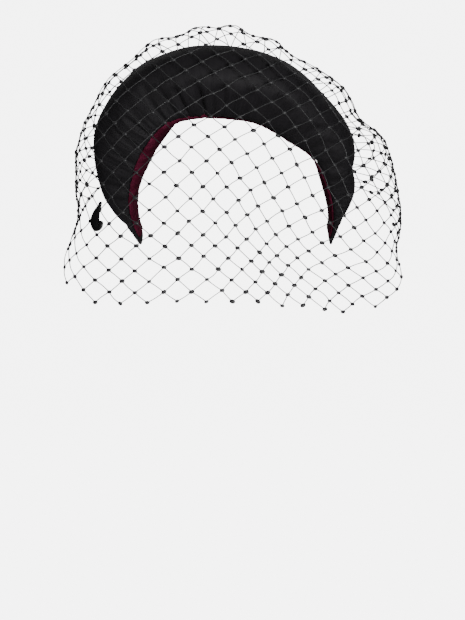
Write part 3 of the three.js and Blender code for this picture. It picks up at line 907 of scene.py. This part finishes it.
def veil_points(rising, falling, drawn, clearance):
    """Points of the hanging net over points of the flat cloth, each drawn back along its line."""
    x, z = flat_place(rising, falling)
    angle = np.arctan2(x, z)
    line, lengths = veil_lines(angle)
    s = np.hypot(x, z) - drawn
    low = np.clip((lengths < s[:, None]).sum(1) - 1, 0, line.shape[1] - 2)
    index = np.arange(len(s))
    start = line[index, low]
    step = line[index, low + 1] - start
    span = lengths[index, low + 1] - lengths[index, low]
    place = start + step * ((s - lengths[index, low]) / span)[:, None]
    way = step / np.linalg.norm(step, axis=1)[:, None]
    rim_length = lengths[:, FRONT_STEPS]
    length = lengths[:, -1]
    wave_begins = WAVES_FROM * rim_length
    fade = smooth(s, length, length - WAVES_CALM * (length - rim_length))
    lift = RUFFLE_HEIGHT * wave_at(angle) * smooth(s, wave_begins, rim_length) * fade
    fold_across = np.clip((rising - FOLD_FROM) / (FOLD_TO - FOLD_FROM), 0, 1)
    ridge = RIDGE_HEIGHT * np.sin(np.pi * fold_across) ** 2 * smooth(falling, FOLD_TOP, FOLD_BOTTOM)
    out = place[:, 0] + way[:, 1] * lift
    back = place[:, 1] - way[:, 0] * lift - ridge * smooth(s, rim_length, wave_begins)
    points = np.stack([out * np.sin(angle), back, CENTRE_Z + out * np.cos(angle)], -1)
    return clear_of_pad(points, clearance)


def facing_at(rising, falling, drawn, clearance):
    """The net's facing at each point, and the level way across its diamonds there."""
    d = PROBE_SHARE * NET_SIDE
    along_rise = veil_points(rising + d, falling, drawn, clearance)
    along_rise = along_rise - veil_points(rising - d, falling, drawn, clearance)
    along_fall = veil_points(rising, falling + d, drawn, clearance)
    along_fall = along_fall - veil_points(rising, falling - d, drawn, clearance)
    normal = np.cross(along_rise, along_fall)
    normal /= np.linalg.norm(normal, axis=1)[:, None]
    level = along_rise / np.linalg.norm(along_rise, axis=1)[:, None]
    level = level + along_fall / np.linalg.norm(along_fall, axis=1)[:, None]
    level -= normal * (level * normal).sum(1)[:, None]
    return normal, level / np.linalg.norm(level, axis=1)[:, None]


def diamond_inside(rising, falling):
    """Whether the diamonds with these middles are part of the cut net."""
    x, z = flat_place(rising, falling)
    angle = np.arctan2(x, z)
    _, lengths = veil_lines(angle)
    reach = np.hypot(x, z)
    drop = VEIL_DROP + HEM_TILT * x - HEM_CURVE * (x / HEM_HALF_WIDTH) ** 4
    above_hem = z > -drop + NET_SIDE * RISE_SHARE / 2
    beside_end = (reach < lengths[:, FRONT_STEPS]) | (np.abs(angle) < LAST_SEAM_TURN)
    return above_hem & beside_end & (reach < lengths[:, -1] - LAST_CELL_SHARE * NET_SIDE)


def cut_net():
    """The net's diamonds, counted in threads along the two ways that they run."""
    grid = np.arange(-MOST_CELLS, MOST_CELLS + 1)
    i, j = (a.ravel() for a in np.meshgrid(grid, grid, indexing="ij"))
    inside = diamond_inside((i + 0.5) * NET_SIDE, (j + 0.5) * NET_SIDE)
    return set(zip(i[inside].tolist(), j[inside].tolist()))


def net_strands(cells):
    """Knots and threads of the diamonds, and how far each knot is drawn back to lie on the seam."""
    knots = sorted({(i + a, j + b) for i, j in cells for a in (0, 1) for b in (0, 1)})
    threads = set()
    for i, j in cells:
        threads.update([((i, j), (i + 1, j)), ((i, j + 1), (i + 1, j + 1))])
        threads.update([((i, j), (i, j + 1)), ((i + 1, j), (i + 1, j + 1))])
    place = np.array(knots, float) * NET_SIDE
    x, z = flat_place(place[:, 0], place[:, 1])
    _, lengths = veil_lines(np.arctan2(x, z))
    reach = np.hypot(x, z)
    around = [sum((i - a, j - b) in cells for a in (0, 1) for b in (0, 1)) for i, j in knots]
    near_seam = (reach > lengths[:, FRONT_STEPS]) & (np.abs(reach - lengths[:, -1]) < NET_SIDE)
    drawn = np.where(near_seam & (np.array(around) < 4), reach - lengths[:, -1], 0.0)
    return knots, sorted(threads), drawn


def thread_curve(paths, radii):
    """All the threads as one round curve, made a mesh. Each thread has its own closed ends."""
    threads = new_piece("net_threads", bpy.ops.curve.primitive_nurbs_path_add)
    curve = threads.data
    curve.splines.clear()
    curve.dimensions = "3D"
    curve.bevel_depth = THREAD_RADIUS
    curve.bevel_resolution = 1
    curve.use_fill_caps = True
    for path, radius in zip(paths, radii):
        spline = curve.splines.new("POLY")
        spline.points.add(len(path) - 1)
        spline.points.foreach_set("co", np.append(path, np.ones((len(path), 1)), 1).ravel())
        spline.points.foreach_set("radius", radius)
        spline.use_smooth = True
    pick(threads)
    bpy.ops.object.convert(target="MESH")
    return bpy.context.object


def knot_copies(middles, long_ways, out_ways, sizes):
    """One knot, pinched at its waist, with a copy at each place."""
    add = bpy.ops.mesh.primitive_uv_sphere_add
    first = new_piece("net_knot", add, segments=8, ring_count=6, radius=0.5, rotation=(0, math.pi / 2, 0))
    bpy.ops.object.transform_apply(rotation=True)
    shape = points_of(first)
    far = shape[:, :1]
    shape[:, 1:] *= KNOT_WAIST + KNOT_SHOULDERS * far**2 * (1 - 2 * np.abs(far))
    move_points(first, shape)
    bpy.ops.object.shade_smooth()
    copies = []
    side_ways = np.cross(out_ways, long_ways)
    for middle, long_way, side_way, out_way, size in zip(middles, long_ways, side_ways, out_ways, sizes):
        knot = first.copy()
        knot.data = first.data.copy()
        bpy.context.scene.collection.objects.link(knot)
        turned = np.identity(4)
        turned[:3, :3] = np.stack([long_way * size[0], side_way * size[1], out_way * size[2]], 1)
        turned[:3, 3] = middle
        knot.data.transform(Matrix(turned.tolist()))
        copies.append(knot)
    bpy.data.objects.remove(first)
    return copies


def thread_paths(chance, at, held, first, last):
    """Paths of the threads from knot to knot, each bowed a little aside and outwards by chance."""
    share = np.linspace(0, 1, THREAD_STEPS)
    found = []
    for values in (at, held):
        start = values[first][:, None]
        between = start + (values[last][:, None] - start) * share[:, None]
        found.append(between.reshape(-1, 2))
    place, hold = found
    shape = (len(first), THREAD_STEPS, 3)
    paths = veil_points(*place.T, *hold.T).reshape(shape)
    ways = facing_at(*place.T, *hold.T)[0].reshape(shape)
    run = paths[:, -1] - paths[:, 0]
    aside = np.cross(ways.mean(1), run / np.linalg.norm(run, axis=1)[:, None])
    arc = np.sin(np.pi * share)[None, :, None]
    bow = chance.normal(0, THREAD_BOW, (len(first), 1, 1)) * arc
    lift = np.abs(chance.normal(0, THREAD_LIFT, (len(first), 1, 1))) * arc
    outward = np.sign((ways * (paths - HOLLOW_MIDDLE)).sum(2).mean(1))[:, None, None]
    swell = 1 + THREAD_SWELL * (2 * np.abs(share - 0.5)) ** 4
    return paths + aside[:, None] * bow + ways * outward * lift, np.repeat(swell[None], len(first), 0)


def veil_net():
    """The net's knots and threads as one piece, hung over the front and sewn to the back of the pad."""
    knots, threads, pull = net_strands(cut_net())
    chance = np.random.default_rng(NET_SEED)
    stray = chance.normal(0, KNOT_STRAY, (len(knots), 2))
    stray[pull != 0] = 0
    at = np.array(knots, float) * NET_SIDE + stray
    clearance = np.where(pull != 0, SEAM_GAP + THREAD_RADIUS, NET_CLEARANCE)
    middles = veil_points(*at.T, pull, clearance)
    normal, level = facing_at(*at.T, pull, clearance)
    sizes = np.array(KNOT_SIZE) * chance.uniform(*KNOT_SIZE_RANGE, (len(knots), 1))
    tilt = chance.normal(0, KNOT_TILT, len(knots))[:, None]
    level = level * np.cos(tilt) + np.cross(normal, level) * np.sin(tilt)
    pieces = knot_copies(middles, level, normal, sizes)

    number = {knot: index for index, knot in enumerate(knots)}
    first = np.array([number[a] for a, _ in threads])
    last = np.array([number[b] for _, b in threads])
    held = np.stack([pull, clearance], -1)
    net = thread_curve(*thread_paths(chance, at, held, first, last))
    pick(net)
    for knot in pieces:
        knot.select_set(True)
    bpy.ops.object.join()
    net.name = "net_veil"
    net.data.name = "net_veil"
    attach(net, "root")
    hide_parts("veil_net")
    return net


def black_net():
    """Black nylon thread, twisted, with a slight gloss."""
    paint = Paint("black_net")
    place = paint.node("ShaderNodeTexCoord")
    twist = paint.node("ShaderNodeTexNoise", vector=place.outputs["Object"], scale=900).outputs["Fac"]
    shade = paint.ramp(twist, [(0.35, (0.044, 0.044, 0.046)), (0.7, (0.066, 0.066, 0.069))])
    paint.set(base_color=shade, normal=paint.bumped(twist, 0.0002, 0.6))
    paint.set(roughness=0.4, specular_ior_level=0.5)
    return paint.material


# The curled tab on the net


def curled_tab():
    """A strip of glossy ribbon, cupped and curled round into a hook at its lower end."""
    at = np.array([TAB_RISING]), np.array([TAB_FALLING]), np.zeros(1)
    anchor = veil_points(*at, NET_CLEARANCE)[0]
    step = TAB_PROBE_SHARE * NET_SIDE
    corners = [(1, 1), (-1, -1), (1, -1), (-1, 1)]
    found = [veil_points(at[0] + a * step, at[1] + b * step, at[2], NET_CLEARANCE)[0] for a, b in corners]
    across = found[0] - found[1]
    rise = found[2] - found[3]
    facing = np.cross(across, rise)
    facing = facing / np.linalg.norm(facing) + TAB_FACING * np.array([0, -1, 0])
    down = -rise / np.linalg.norm(rise)
    side = np.cross(facing, down)
    side /= np.linalg.norm(side)
    out = np.cross(down, side)

    tab = new_cloth("ribbon_tab", TAB_GRID)
    aside, along = cloth_shares(tab)
    aside = 2 * aside - 1
    keys = np.arange(len(TAB_ROWS), dtype=float)
    along = along * (len(TAB_ROWS) - 1)

    def spine(place):
        """The tab's middle line: aside, and down from its middle."""
        found = [table_at(keys, TAB_ROWS[:, column], place) * TAB_LENGTH for column in (0, 1)]
        return np.stack([found[0], found[1] - TAB_LENGTH / 2], -1)

    way = spine(np.minimum(along + TAB_WAY_STEP, keys[-1])) - spine(np.maximum(along - TAB_WAY_STEP, 0))
    way /= np.linalg.norm(way, axis=1)[:, None]
    wide = table_at(keys, TAB_ROWS[:, 2], along) * TAB_WIDTH / 2
    here = spine(along)
    x = here[:, 0] - way[:, 1] * wide * aside
    y = here[:, 1] + way[:, 0] * wide * aside
    crease_wave = np.sin(along * TAB_CREASES_OFTEN[0] + aside * TAB_CREASES_OFTEN[1])
    crease = TAB_CREASE * crease_wave * (1 - aside**2)
    cupped = TAB_STAND + TAB_CUP * wide * (1 - aside**2) + crease
    cupped = cupped + TAB_HOOK_LIFT * smooth(along, *TAB_HOOK_ROWS)
    move_points(tab, anchor + side * x[:, None] + down * y[:, None] + out * cupped[:, None])
    finish_with(tab, "SOLIDIFY", thickness=TAB_CLOTH, offset=0)
    finish_with(tab, "SUBSURF", levels=1, render_levels=1)
    close_up(tab, 0.0)
    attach(tab, "root")
    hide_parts("veil_tab")
    return tab


def black_tab():
    """Glossy black ribbon with faint lengthwise streaks."""
    paint = Paint("black_tab")
    streaks = paint.cloth_noise((14, 2.5), 3.0)
    shade = paint.ramp(streaks, [(0.3, (0.007, 0.007, 0.0075)), (0.7, (0.016, 0.016, 0.017))])
    paint.set(base_color=shade, normal=paint.bumped(streaks, 0.0003, 0.5))
    paint.set(roughness=0.33, specular_ior_level=0.35, coat_weight=0.15, coat_roughness=0.2)
    return paint.material


pad = halo_pad()
pad.data.materials.append(black_satin())
ribbon = lining()
ribbon.data.materials.append(burgundy_ribbon())
net = veil_net()
net.data.materials.append(black_net())
tab = curled_tab()
tab.data.materials.append(black_tab())
